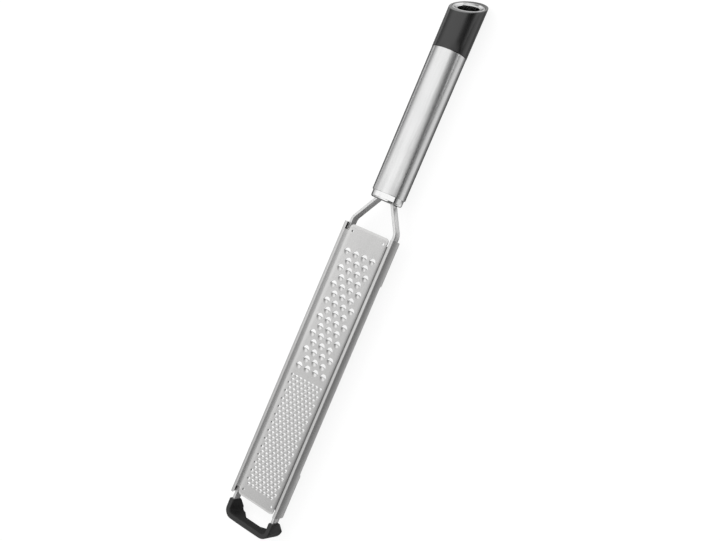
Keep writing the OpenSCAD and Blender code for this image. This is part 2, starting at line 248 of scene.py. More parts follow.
LEFT_OF_COLLAR = (150, 195, 1.0, 0.5)
LEFT_OF_TUBE = (130, 178, 1.0, 0.2)
COLLAR_GAIN = (0.02, 0.05, 1.1, 1.0)
LOW_RIGHT = (62, 78)
LOW_RIGHT_LEVEL = (-0.42, -0.33, 1.0, 0.42)
BLADE_LIFTS = ((113, 124, 1.12, 0.8), (140, 160, 1.0, 0.7))
LEGS_ALONG = ((-0.012, -0.004), (0.021, 0.015))
LEGS_LIFTS = ((106, 113), (136, 128))
LEGS_LEVEL = 0.4
FRONT_FROM = (-0.33, -0.42)
FRONT_RIGHT = (52, 44)
FRONT_LEFT = (172, 178)
FRONT_LEVEL = 0.05
TO_FOOT = ((-0.34, 0.0, 0.62, 1.0), (-0.55, -0.4, 1.75, 1.0))

# Lamp and camera
LAMP_SIZE = 0.9
LAMP_ENERGY = 3.0
LAMP_PLACE = (-0.55, 0.25, 1.1)
CAMERA_PLACE = (299.48, 32.95, 556.0)
CAMERA_AIM = (4.849, -1.8, 16.65)
CAMERA_ROLL = -23.044
CAMERA_LENS = 45.656
CAMERA_SENSOR = 36.0
CAMERA_CLIP = 0.01


# Helpers for worked-out surfaces. All lengths are in millimetres until the mesh is made.

def grid_quads(rows, columns, round_rows=False, round_columns=False):
    """Corners of the quads of a grid of rows x columns points, closed round in either direction."""
    r = np.arange(rows if round_rows else rows - 1)
    c = np.arange(columns if round_columns else columns - 1)
    near, across = np.meshgrid(r, c, indexing="ij")
    next_row, next_column = (near + 1) % rows, (across + 1) % columns
    return np.stack([
        near * columns + across,
        near * columns + next_column,
        next_row * columns + next_column,
        next_row * columns + across,
    ], -1).reshape(-1, 4)


def weld(keys, quads):
    """Joins points whose keys agree, and gives the first point of each group, then the whole quads and
    the quads that lost one side as triangles."""
    rounded = np.round(np.asarray(keys) / WELD).astype(np.int64)
    _, first, group = np.unique(rounded, axis=0, return_index=True, return_inverse=True)
    quads = group.reshape(-1)[quads]
    same = quads == np.roll(quads, -1, axis=1)
    lost = same.sum(1)
    thin = quads[lost == 1]
    triangles = thin[~same[lost == 1]].reshape(-1, 3)
    return first, quads[lost == 0], triangles


def build_mesh(name, points, quads, triangles, values=None):
    """Mesh from whole arrays of points and faces, with point attributes."""
    mesh = bpy.data.meshes.new(name)
    mesh.vertices.add(len(points))
    mesh.vertices.foreach_set("co", (points * MM).astype(np.float32).ravel())
    corners = np.concatenate([quads.ravel(), triangles.ravel()]).astype(np.int32)
    starts = np.concatenate([
        np.arange(len(quads)) * 4,
        len(quads) * 4 + np.arange(len(triangles)) * 3,
    ]).astype(np.int32)
    mesh.loops.add(len(corners))
    mesh.loops.foreach_set("vertex_index", corners)
    mesh.polygons.add(len(starts))
    mesh.polygons.foreach_set("loop_start", starts)
    mesh.update(calc_edges=True)
    for key, value in (values or {}).items():
        attribute = mesh.attributes.new(key, "FLOAT", "POINT")
        attribute.data.foreach_set("value", value.astype(np.float32))
    mesh.validate()
    return mesh


def finish_mesh(mesh):
    """Faces outwards, smooth shading, and sharp edges where the surface turns sharply."""
    work = bmesh.new()
    work.from_mesh(mesh)
    bmesh.ops.recalc_face_normals(work, faces=work.faces)
    work.to_mesh(mesh)
    work.free()
    mesh.shade_smooth()
    mesh.set_sharp_from_angle(angle=SHARP_ANGLE)
    mesh.update()


def add_object(name, data):
    """Object of a mesh, a lamp or a camera, in the scene."""
    piece = bpy.data.objects.new(name, data)
    bpy.context.scene.collection.objects.link(piece)
    return piece


def make_piece(name, mesh, material, slot, *nodes):
    """Object of a finished mesh that rides on the tool's one body and stands for its CAD nodes."""
    finish_mesh(mesh)
    piece = add_object(name, mesh)
    mesh.materials.append(material)
    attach(piece, "root")
    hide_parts(*nodes)
    return piece


def surface(name, grid, round_rows=False, round_columns=False, values=None):
    """Mesh of a grid of points, rows x columns x 3, whose poles and seams are joined."""
    rows, columns = grid.shape[:2]
    points = grid.reshape(-1, 3)
    first, quads, triangles = weld(points, grid_quads(rows, columns, round_rows, round_columns))
    kept = {key: value.reshape(-1)[first] for key, value in (values or {}).items()}
    return build_mesh(name, points[first], quads, triangles, kept)


def arc(centre, radius, start, end, steps):
    """Points on a circle from one angle to another, in degrees."""
    a = np.radians(np.linspace(start, end, steps + 1))
    return np.stack([centre[0] + radius * np.cos(a), centre[1] + radius * np.sin(a)], -1)


def rounded_outline(corners, radii, steps, closed=True):
    """Outline with round corners: at each corner an arc that touches both sides, with its centre on the
    corner's bisector. A radius of 0 keeps the corner."""
    corners = np.asarray(corners, float)
    count = len(corners)
    parts = []
    for i, (corner, radius) in enumerate(zip(corners, radii)):
        if radius == 0 or (not closed and i in (0, count - 1)):
            parts.append(corner[None])
            continue
        back = corners[i - 1] - corner
        ahead = corners[(i + 1) % count] - corner
        back, ahead = back / np.linalg.norm(back), ahead / np.linalg.norm(ahead)
        half = math.acos(np.clip(back @ ahead, -1, 1)) / 2
        middle = back + ahead
        centre = corner + middle / np.linalg.norm(middle) * radius / math.sin(half)
        first = corner + back * radius / math.tan(half) - centre
        last = corner + ahead * radius / math.tan(half) - centre
        start = math.atan2(first[1], first[0])
        sweep = (math.atan2(last[1], last[0]) - start + math.pi) % (2 * math.pi) - math.pi
        parts.append(arc(centre, radius, math.degrees(start), math.degrees(start + sweep), steps))
    return np.concatenate(parts)


def held_sides(profile):
    """Profile with two more points on each long side, close to its ends, so that the shading of the
    round corners doesn't spread along the side."""
    points = [profile[0]]
    for first, last in zip(profile[:-1], profile[1:]):
        length = np.linalg.norm(last - first)
        if length > HELD_SIDE:
            step = (last - first) / length * HOLD
            points += [first + step, last - step]
        points.append(last)
    return np.array(points)


def turned(profile, steps):
    """Surface of revolution about Z: each profile point, a radius and a height, goes round in equal
    steps. Gives a grid of profile points x steps."""
    profile = held_sides(np.asarray(profile, float))
    a = np.linspace(0, 2 * math.pi, steps, endpoint=False)
    radius, height = profile[:, :1], profile[:, 1:]
    return np.stack([radius * np.cos(a), radius * np.sin(a), height + 0 * a], -1)


def along_handle(grid, y):
    """Turns a grid's Z axis along +Y and sets its zero height at y on the handle's axis."""
    return np.stack([grid[..., 0], y + grid[..., 2], AXIS_Z - grid[..., 1]], -1)


def on_end_face(grid):
    """Turns a grid's Z axis out of the cap's slanted end face, with its zero height on that face."""
    face_y = CAP_HIGH[1] - CAP_REAR_R * math.tan(CAP_SLANT)
    s, c = math.sin(CAP_SLANT), math.cos(CAP_SLANT)
    x, y, z = grid[..., 0], grid[..., 1], grid[..., 2]
    return np.stack([x, face_y + s * y + c * z, AXIS_Z - c * y + s * z], -1)


def carve(mesh, cutters):
    """Mesh after closed cutter meshes are taken away from it."""
    piece = add_object("carved", mesh)
    tools = []
    for cutter in cutters:
        finish_mesh(cutter)
        tool = add_object("cutter", cutter)
        cut = piece.modifiers.new("cut", "BOOLEAN")
        cut.object = tool
        cut.solver = "EXACT"
        tools.append(tool)
    bpy.context.view_layer.update()
    result = bpy.data.meshes.new_from_object(
        piece.evaluated_get(bpy.context.evaluated_depsgraph_get()))
    for spare in [piece, *tools]:
        bpy.data.objects.remove(spare)
    return result


# Shader node groups, each built once and placed in the materials with its own values

def node_group(name, inputs, outputs):
    """Empty shader group with named float or colour sockets, and its input and output nodes."""
    group = bpy.data.node_groups.new(name, "ShaderNodeTree")
    for key, kind, value in inputs:
        socket = group.interface.new_socket(key, in_out="INPUT", socket_type=kind)
        socket.default_value = value
    for key, kind in outputs:
        group.interface.new_socket(key, in_out="OUTPUT", socket_type=kind)
    return group, group.nodes.new("NodeGroupInput"), group.nodes.new("NodeGroupOutput")


def feed(tree, socket, value):
    """Gives an input socket a link or a constant."""
    if isinstance(value, bpy.types.NodeSocket):
        tree.links.new(value, socket)
    else:
        socket.default_value = value


def maths(tree, operation, a, b, clamp=False):
    """Math node whose two inputs are sockets or numbers."""
    node = tree.nodes.new("ShaderNodeMath")
    node.operation = operation
    node.use_clamp = clamp
    for socket, value in zip(node.inputs, (a, b)):
        feed(tree, socket, value)
    return node.outputs[0]


def ramp(tree, value, low, high, out_low=0.0, out_high=1.0):
    """Smooth step of a value from one range to another."""
    node = tree.nodes.new("ShaderNodeMapRange")
    node.interpolation_type = "SMOOTHSTEP"
    keys = ("Value", "From Min", "From Max", "To Min", "To Max")
    for key, number in zip(keys, (value, low, high, out_low, out_high)):
        feed(tree, node.inputs[key], number)
    return node.outputs["Result"]


def noise(tree, vector, scale, detail=3.0, roughness=0.55):
    """Noise texture's value at a vector."""
    node = tree.nodes.new("ShaderNodeTexNoise")
    node.inputs["Detail"].default_value = detail
    node.inputs["Roughness"].default_value = roughness
    feed(tree, node.inputs["Scale"], scale)
    feed(tree, node.inputs["Vector"], vector)
    return node.outputs[0]


def stretched(tree, x, y, z):
    """Object coordinates in millimetres, divided by a length along each axis."""
    place = tree.nodes.new("ShaderNodeTexCoord").outputs["Object"]
    node = tree.nodes.new("ShaderNodeMapping")
    node.inputs["Scale"].default_value = (1 / (x * MM), 1 / (y * MM), 1 / (z * MM))
    tree.links.new(place, node.inputs["Vector"])
    return node.outputs[0]


def brushing_group():
    """Lines left by a brush that runs along the tool: long noise in two widths."""
    group, given, result = node_group("brushing", [
        ("Contrast", "NodeSocketFloat", 1.0),
    ], [("Value", "NodeSocketFloat"), ("Patches", "NodeSocketFloat")])
    fine = noise(group, stretched(group, 0.16, 16, 0.16), 1.0, 2.0)
    coarse = noise(group, stretched(group, 0.6, 45, 0.6), 1.0, 3.0)
    both = maths(group, "ADD", maths(group, "MULTIPLY", fine, 0.6), maths(group, "MULTIPLY", coarse, 0.4))
    centred = maths(group, "SUBTRACT", both, 0.5)
    value = maths(group, "ADD", maths(group, "MULTIPLY", centred, given.outputs["Contrast"]), 0.5, True)
    group.links.new(value, result.inputs["Value"])
    group.links.new(noise(group, stretched(group, 14, 30, 14), 1.0, 2.0), result.inputs["Patches"])
    return group


def mottle_group():
    """Even fine mottle of rolled or etched sheet and of moulded skins, with slow patches."""
    group, given, result = node_group("mottle", [
        ("Grain", "NodeSocketFloat", 4.0),
    ], [("Value", "NodeSocketFloat"), ("Patches", "NodeSocketFloat")])
    place = stretched(group, 1, 1, 1)
    group.links.new(noise(group, place, given.outputs["Grain"], 3.0, 0.6), result.inputs["Value"])
    group.links.new(noise(group, stretched(group, 11, 26, 11), 1.0, 2.0), result.inputs["Patches"])
    return group


def edge_wear_group():
    """Mask of rubbed edges: the mesh's own edge attribute, broken up by noise."""
    group, given, result = node_group("edge_wear", [
        ("Amount", "NodeSocketFloat", 0.5),
    ], [("Mask", "NodeSocketFloat")])
    edge = group.nodes.new("ShaderNodeAttribute")
    edge.attribute_name = "edge"
    broken = noise(group, stretched(group, 0.7, 0.7, 0.7), 1.0, 3.0)
    worn = ramp(group, maths(group, "MULTIPLY", edge.outputs["Fac"], broken), 0.18, 0.62)
    group.links.new(maths(group, "MULTIPLY", worn, given.outputs["Amount"]), result.inputs["Mask"])
    return group


GROUPS = {}


def place_group(tree, name, **values):
    """Places one of the shared groups in a material, with its own input values."""
    builders = {"brushing": brushing_group, "mottle": mottle_group, "edge_wear": edge_wear_group}
    if name not in GROUPS:
        GROUPS[name] = builders[name]()
    node = tree.nodes.new("ShaderNodeGroup")
    node.node_tree = GROUPS[name]
    for key, value in values.items():
        node.inputs[key].default_value = value
    return node.outputs


def new_material(name):
    """Material with nodes, and its Principled shader."""
    material = bpy.data.materials.new(name)
    material.use_nodes = True
    return material, material.node_tree, material.node_tree.nodes["Principled BSDF"]


def product(tree, first, *others):
    """Product of several values."""
    for other in others:
        first = maths(tree, "MULTIPLY", first, other)
    return first


def ramps(tree, value, *ranges):
    """Product of several ramps of one value."""
    return product(tree, *(ramp(tree, value, *one) for one in ranges))


def mix_values(tree, factor, first, second):
    """Value between two values, by a factor socket."""
    node = tree.nodes.new("ShaderNodeMix")
    for socket, value in zip((node.inputs[0], node.inputs[2], node.inputs[3]), (factor, first, second)):
        feed(tree, socket, value)
    return node.outputs[0]


def mix_colours(tree, factor, first, second):
    """Colour between two colours, by a factor socket."""
    node = tree.nodes.new("ShaderNodeMix")
    node.data_type = "RGBA"
    tree.links.new(factor, node.inputs[0])
    for socket, colour in ((node.inputs[6], first), (node.inputs[7], second)):
        linked = isinstance(colour, bpy.types.NodeSocket)
        feed(tree, socket, colour if linked else (*colour, 1))
    return node.outputs[2]


def set_bump(tree, shader, height, distance):
    """Bump node from a height socket, its distance in millimetres."""
    node = tree.nodes.new("ShaderNodeBump")
    node.inputs["Distance"].default_value = distance * MM
    node.inputs["Strength"].default_value = 1.0
    tree.links.new(height, node.inputs["Height"])
    tree.links.new(node.outputs[0], shader.inputs["Normal"])


def grey(value, warmth=0.0):
    """Near-neutral colour, warmer or cooler by a small share."""
    return (value * (1 + warmth), value, value * (1 - warmth))


# Finishes

def grain_tone(tree, grain, share):
    """Mean of a group's fine grain and its slow patches, by the grain's share."""
    return maths(tree, "ADD", product(tree, grain["Value"], share),
                 product(tree, grain["Patches"], 1 - share))


def steel(name, group, group_values, dark, light, roughness, bump, edge_tint, wear, metallic=1.0):
    """Steel whose colour and roughness follow a grain group, with darker glancing edges and rubbed,
    brighter and smoother corners."""
    material, tree, shader = new_material(name)
    smooth, dull = roughness
    grain = place_group(tree, group, **group_values)
    worn = place_group(tree, "edge_wear", Amount=wear)["Mask"]
    tone = grain_tone(tree, grain, 0.7)
    body = mix_colours(tree, ramp(tree, tone, *TONE_SPAN), dark, light)
    tree.links.new(mix_colours(tree, worn, body, grey(0.9)), shader.inputs["Base Color"])
    rough = ramp(tree, tone, *TONE_SPAN, dull, smooth)
    tree.links.new(maths(tree, "SUBTRACT", rough, product(tree, worn, smooth / 2)),
                   shader.inputs["Roughness"])
    shader.inputs["Metallic"].default_value = metallic
    shader.inputs["Specular Tint"].default_value = (*grey(edge_tint), 1)
    set_bump(tree, shader, grain["Value"], bump)
    return material


def brushed_tube_finish():
    return steel("brushed_tube_steel", "brushing", {"Contrast": 1.0}, grey(0.74), grey(0.84),
                 roughness=(0.20, 0.30), bump=0.004, edge_tint=0.10, wear=0.3)


def polished_finish():
    return steel("polished_collar_steel", "mottle", {"Grain": 2.0}, grey(0.84), grey(0.9),
                 roughness=(0.04, 0.08), bump=0.0005, edge_tint=0.10, wear=0.3)


def polished_ring_finish():
    return steel("polished_ring_steel", "mottle", {"Grain": 2.0}, grey(0.8), grey(0.88),
                 roughness=(0.10, 0.16), bump=0.0005, edge_tint=0.35, wear=0.3)


def blade_finish():
    return steel("etched_sheet_steel", "mottle", {"Grain": 5.0}, grey(0.64, 0.006), grey(0.74, 0.006),
                 roughness=(0.22, 0.32), bump=0.002, edge_tint=0.35, wear=0.5)


def strip_finish():
    return steel("strip_frame_steel", "brushing", {"Contrast": 1.2}, grey(0.6, 0.004), grey(0.74, 0.004),
                 roughness=(0.26, 0.38), bump=0.003, edge_tint=0.3, wear=0.6, metallic=0.75)


def moulded(name, colour, worn_colour, roughness, grain, bump, ior, wear):
    """Moulded plastic or rubber: even colour with a fine mottle in its sheen and paler rubbed edges."""
    material, tree, shader = new_material(name)
    skin = place_group(tree, "mottle", Grain=grain)
    worn = place_group(tree, "edge_wear", Amount=wear)["Mask"]
    body = mix_colours(tree, skin["Patches"], colour, tuple(1.25 * c for c in colour))
    tree.links.new(mix_colours(tree, worn, body, worn_colour), shader.inputs["Base Color"])
    tone = grain_tone(tree, skin, 0.5)
    tree.links.new(ramp(tree, tone, *TONE_SPAN, *roughness), shader.inputs["Roughness"])
    shader.inputs["IOR"].default_value = ior
    set_bump(tree, shader, skin["Value"], bump)
    return material


def cap_finish():
    return moulded("cap_black_plastic", grey(0.004), grey(0.02), roughness=(0.22, 0.28), grain=3.0,
                   bump=0.002, ior=1.75, wear=0.3)


def rubber_finish():
    return moulded("foot_black_rubber", grey(0.022), grey(0.06), roughness=(0.5, 0.65), grain=2.5,
                   bump=0.02, ior=1.5, wear=0.5)


def core_finish():
    return moulded("core_grey_plastic", grey(0.1), grey(0.16), roughness=(0.5, 0.6), grain=3.0,
                   bump=0.01, ior=1.45, wear=0.0)


# Handle

def handle_tube():
    """Steel sleeve: a closed profile of outer wall, rounded lips and inner wall, turned about the axis.
    Its worn rows run from the front lip over the whole outer side to the rear lip."""
    length = TUBE_HIGH[1] - TUBE_LOW[1]
    corners = [
        (TUBE_FRONT_R - TUBE_WALL, 0),
        (TUBE_FRONT_R, 0),
        (TUBE_REAR_R, length),
        (TUBE_REAR_R - TUBE_WALL, length),
    ]
    profile = rounded_outline(corners, TUBE_LIP_RADII, 5)
    grid = along_handle(turned(profile, TURN_STEPS), TUBE_LOW[1])
    edge = np.zeros(grid.shape[:2])
    worn_rows = slice(6, 18)
    edge[worn_rows] = 1
    mesh = surface("handle_tube_sleeve", grid, True, True, {"edge": edge})
    return make_piece("handle_tube_sleeve", mesh, brushed_tube_finish(), "brushed_tube", "handle_tube")


def leg_slot(side):
    """Cutter for one leg's slot in the collar's floor: a rounded outline carried along Y."""
    slope = (STRIP_X - TANG_X) / (TANG_BEND_Y - NECK_BEND_Y)
    inner = TANG_X - STRIP_T / 2 - SLOT_GAP
    slant_x = TANG_X + slope * (TANG_BEND_Y - COLLAR_LOW[1])
    outer = slant_x + STRIP_T / 2 / math.cos(math.atan(slope)) + SLOT_GAP
    low, high = STRIP_LOW_Z - SLOT_GAP, STRIP_TOP_Z + SLOT_GAP
    corners = [(side * inner, low), (side * outer, low), (side * outer, high), (side * inner, high)]
    outline = rounded_outline(corners, [SLOT_CORNER_R] * 4, 4)
    middle = outline.mean(0)
    before, past = -1.0, COLLAR_FLOOR + 0.5
    rows = [(middle, before), (outline, before), (outline, past), (middle, past)]
    grid = np.stack([
        np.stack([line[..., 0] + 0 * outline[:, 0], np.full(len(outline), COLLAR_LOW[1] + y),
                  line[..., 1] + 0 * outline[:, 0]], -1)
        for line, y in rows
    ])
    return surface("leg_slot", grid, False, True)


def collar():
    """Polished cup turned about the handle's axis, its front edge rounded, with the legs' two slots."""
    depth = COLLAR_HIGH[1] - COLLAR_LOW[1]
    corners = [
        (0, 0),
        (COLLAR_R, 0),
        (COLLAR_R, depth),
        (COLLAR_R - COLLAR_WALL, depth),
        (COLLAR_R - COLLAR_WALL, COLLAR_FLOOR),
        (0, COLLAR_FLOOR),
    ]
    radii = [0, COLLAR_EDGE_R, COLLAR_LIP_R, COLLAR_LIP_R, COLLAR_CORNER_R, 0]
    profile = rounded_outline(corners, radii, 10, closed=False)
    mesh = surface("collar_cup", along_handle(turned(profile, TURN_STEPS), COLLAR_LOW[1]), False, True)
    mesh = carve(mesh, [leg_slot(side) for side in (-1, 1)])
    return make_piece("collar_cup", mesh, polished_finish(), "polished_steel", "collar")


def end_cap():
    """Black cap. Rings about the handle's axis run up the plug and the flared side; the last ones end on
    the slanted plane, with a rounded rim that is a quadratic curve from the side to the end face through
    the sharp corner, and close over the face. The eye is then carved out of it."""
    a = np.linspace(0, 2 * math.pi, CAP_STEPS, endpoint=False)
    ca, sa = np.cos(a), np.sin(a)
    joint_y = TUBE_HIGH[1]
    plug_y = CAP_LOW[1]
    plug_r = TUBE_REAR_R - TUBE_WALL - FIT_GAP
    face_y = CAP_HIGH[1] - CAP_REAR_R * math.tan(CAP_SLANT)
    flare = (CAP_REAR_R - CAP_FRONT_R) / (CAP_HIGH[1] - joint_y)

    def ring(radius, y):
        return np.stack([radius * ca, y + 0 * a, AXIS_Z + radius * sa], -1)

    def side(y):
        return ring(CAP_FRONT_R + flare * (y - joint_y), y)

    end_y = face_y - CAP_REAR_R * sa * math.tan(CAP_SLANT)
    sharp = side(end_y)
    centre = np.array([0, face_y, AXIS_Z])
    below = side(end_y - CAP_RIM)
    inward = sharp + (centre - sharp) / np.linalg.norm(centre - sharp, axis=1)[:, None] * CAP_RIM
    t = np.linspace(0, 1, 7)[:, None, None]
    rim_rows = (1 - t) ** 2 * below + 2 * t * (1 - t) * sharp + t ** 2 * inward
    foot_arc = arc((CAP_FRONT_R - CAP_FOOT_R, joint_y + CAP_FOOT_R), CAP_FOOT_R, -90, 0, 4)
    rows = [ring(0, plug_y), ring(plug_r - PLUG_BEVEL, plug_y), ring(plug_r, plug_y + PLUG_BEVEL),
            ring(plug_r, joint_y)]
    rows += [ring(radius, y) for radius, y in foot_arc]
    first = joint_y + CAP_FOOT_R
    rows += [side(first + (end_y - CAP_RIM - first) * share) for share in (0.25, 0.5, 0.75)]
    rows += list(rim_rows)
    rows += [centre + (inward - centre) * share for share in (0.97, 0.5, 0)]
    grid = np.stack(rows)
    edge = np.zeros(grid.shape[:2])
    edge[len(rows) - 9:len(rows) - 4] = 1
    edge[4:8] = 0.7
    mesh = surface("slanted_end_cap", grid, False, True, {"edge": edge})
    seat_r, seat = RING_R + FIT_GAP, RING_T + FIT_GAP
    liner_r, liner = EYE_R + LINER_WALL + FIT_GAP, LINER_LENGTH + FIT_GAP
    above = 2.0
    bore = np.array([
        (0, above), (seat_r, above), (seat_r, -seat), (liner_r, -seat), (liner_r, -liner),
        (EYE_R, -liner), (EYE_R, -EYE_DEPTH), (0, -EYE_DEPTH),
    ], float)
    cutter = surface("eye_bore", on_end_face(turned(bore, BORE_STEPS)), False, True)
    mesh = carve(mesh, [cutter])
    return make_piece("slanted_end_cap", mesh, cap_finish(), "cap_plastic", "end_cap")


def eye_ring():
    """Dished steel ring with its liner: a closed profile turned about the eye's axis."""
    corners = [
        (EYE_R, -LINER_LENGTH),
        (EYE_R + LINER_WALL, -LINER_LENGTH),
        (EYE_R + LINER_WALL, -RING_T),
        (RING_R, -RING_T),
        (RING_R, 0),
        (RING_R - RING_FLAT, 0),
        (EYE_R + LINER_WALL + RING_LIP, -RING_DISH),
        (EYE_R, -RING_DISH - RING_LIP_DROP),
    ]
    profile = rounded_outline(corners, RING_RADII, 7)
    grid = on_end_face(turned(profile, TURN_STEPS))
    mesh = surface("hanging_eye_ring", grid, True, True)
    return make_piece("hanging_eye_ring", mesh, polished_ring_finish(), "polished_steel", "eye_ring")


# Frame and foot

def bent_line(corners, radii, steps):
    """Line with round bends, as points and their left normals. Each bend turns evenly about its own
    centre, and the line's two ends keep the direction of their straights."""
    corners = np.asarray(corners, float)
    points, normals = [], []
    for i in range(1, len(corners) - 1):
        d1 = corners[i] - corners[i - 1]
        d2 = corners[i + 1] - corners[i]
        d1, d2 = d1 / np.linalg.norm(d1), d2 / np.linalg.norm(d2)
        turn = math.atan2(d1[0] * d2[1] - d1[1] * d2[0], d1 @ d2)
        left = np.array([-d1[1], d1[0]])
        side = math.copysign(1, turn)
        centre = corners[i] - d1 * radii[i - 1] * math.tan(abs(turn) / 2) + side * radii[i - 1] * left
        a = turn * np.linspace(0, 1, steps + 1)
        ca, sa = np.cos(a), np.sin(a)
        n = np.stack([left[0] * ca - left[1] * sa, left[0] * sa + left[1] * ca], -1)
        points.append(centre - side * radii[i - 1] * n)
        normals.append(n)
        if i == 1:
            points.insert(0, corners[:1])
            normals.insert(0, left[None])
        if i == len(corners) - 2:
            points.append(corners[-1:])
            normals.append(np.array([[-d2[1], d2[0]]]))
    return np.concatenate(points), np.concatenate(normals)


def strip_line():
    """Middle line of the strip in plan: left tang, neck, down the left side, round the foot and back."""
    tang_end = TANG_BEND_Y + TANG_LENGTH
    half = [(TANG_X, tang_end), (TANG_X, TANG_BEND_Y), (STRIP_X, NECK_BEND_Y), (STRIP_X, FOOT_STRIP_Y)]
    corners = [(-x, y) for x, y in half] + half[::-1]
    bends = [TANG_BEND_R, NECK_BEND_R, FOOT_BEND_R]
    return bent_line(corners, bends + bends[::-1], 20)


def frame_strip():
    """Steel strip on edge: a rectangle with rounded edges carried along its bent line, closed at both
    ends."""
    line, left = strip_line()
    w, h = STRIP_T / 2, (STRIP_TOP_Z - STRIP_LOW_Z) / 2
    section = rounded_outline([(-w, -h), (w, -h), (w, h), (-w, h)], [STRIP_EDGE_R] * 4, 5)
    scale = np.ones(len(line) + 2)
    scale[[0, -1]] = 0
    line = np.concatenate([line[:1], line, line[-1:]])
    left = np.concatenate([left[:1], left, left[-1:]])
    across = scale[:, None] * section[:, 0]
    up = scale[:, None] * section[:, 1]
    middle_z = (STRIP_TOP_Z + STRIP_LOW_Z) / 2
    grid = np.stack([
        line[:, :1] + left[:, :1] * across,
        line[:, 1:] + left[:, 1:] * across,
        middle_z + up,
    ], -1)
    mesh = surface("bent_frame_strip", grid, False, True, {"edge": np.ones(grid.shape[:2])})
    return make_piece("bent_frame_strip", mesh, strip_finish(), "strip_steel", "frame_strip")


def foot():
    """Rubber sleeve round the strip's bend. Sections between an inner and an outer rounded line run from
    rim to rim, turn in over the rim and run back as the bore round the strip. Under the two corners the
    sections are stretched down to the resting surface."""
    out_x = FOOT_HIGH[0]
    in_x = STRIP_X - STRIP_T / 2 - FIT_GAP - FOOT_INNER_WALL
    low_y, rim_y = FOOT_LOW[1], FOOT_HIGH[1]
    in_y = FOOT_STRIP_Y + STRIP_T / 2 + FIT_GAP + FOOT_INNER_WALL
    top_z = FOOT_HIGH[2]
    low_z = STRIP_LOW_Z - FIT_GAP - FOOT_SKIN
    outer_r = FOOT_BEND_R + STRIP_T / 2 + FIT_GAP + FOOT_OUTER_WALL
    bends = 22
    outer, _ = bent_line([(-out_x, rim_y), (-out_x, low_y), (out_x, low_y), (out_x, rim_y)],
                         [outer_r] * 2, bends)
    inner, _ = bent_line([(-in_x, rim_y), (-in_x, in_y), (in_x, in_y), (in_x, rim_y)],
                         [FOOT_INNER_R] * 2, bends)
    core, _ = bent_line([(-STRIP_X, rim_y), (-STRIP_X, FOOT_STRIP_Y), (STRIP_X, FOOT_STRIP_Y),
                         (STRIP_X, rim_y)], [FOOT_BEND_R] * 2, bends)

    def between(a, b, shares):
        return [a + (b - a) * share for share in shares]

    def ends_split(line, shares=(0.03, 0.1, 0.3, 0.6)):
        half = len(line) // 2
        first, last = between(line[0], line[1], shares), between(line[-1], line[-2], shares)[::-1]
        bar = between(line[half - 1], line[half], (0.25, 0.5, 0.75))
        return np.concatenate([line[:1], first, line[1:half], bar, line[half:-1], last, line[-1:]])

    outer, inner, core = ends_split(outer), ends_split(inner), ends_split(core)
    inset = np.zeros(len(outer))
    inset[[0, -1]] = FOOT_RIM_R
    inset[[1, -2]] = FOOT_RIM_R * 0.3
    rows = []
    for i, (a, b) in enumerate(zip(inner, outer)):
        width = np.linalg.norm(b - a)
        across = (b - a) / width
        d = inset[i]
        box = [(d, low_z + d), (width - d, low_z + d), (width - d, top_z - d), (d, top_z - d)]
        section = rounded_outline(box, [FOOT_EDGE_R] * 4, 6)
        rows.append(np.concatenate([a + across * section[:, :1], section[:, 1:]], 1))
    skin = np.stack(rows)

    half_t = STRIP_T / 2 + FIT_GAP
    bore_rows = []
    for a, b, c in zip(inner, outer, core):
        across = (b - a) / np.linalg.norm(b - a)
        box = [(-half_t, STRIP_LOW_Z - FIT_GAP), (half_t, STRIP_LOW_Z - FIT_GAP),
               (half_t, STRIP_TOP_Z + FIT_GAP), (-half_t, STRIP_TOP_Z + FIT_GAP)]
        section = rounded_outline(box, [FOOT_BORE_R] * 4, 6)
        bore_rows.append(np.concatenate([c + across * section[:, :1], section[:, 1:]], 1))
    bore = np.stack(bore_rows)[::-1]

    x, y, z = skin[..., 0], skin[..., 1], skin[..., 2]
    pad_share = np.clip((np.abs(x) - (out_x - PAD_W - PAD_LEAD)) / PAD_RUN, 0, 1)
    pad_share = pad_share ** 2 * (3 - 2 * pad_share)
    flat_end = low_y + PAD_BEVEL + PAD_FLAT
    side_low = np.interp(y, [low_y, low_y + PAD_BEVEL, flat_end, rim_y], [PAD_BEVEL, 0, 0, low_z])
    drop = pad_share * (low_z - side_low)
    skin[..., 2] = z - drop * np.clip((top_z - z) / (top_z - low_z), 0, 1)
    grid = np.concatenate([skin, bore])
    edge = np.zeros(grid.shape[:2])
    edge[:2] = edge[len(skin) - 2:len(skin)] = 1
    mesh = surface("rubber_foot_sleeve", grid, True, True, {"edge": edge})
    return make_piece("rubber_foot_sleeve", mesh, rubber_finish(), "foot_rubber", "foot")


# Blade

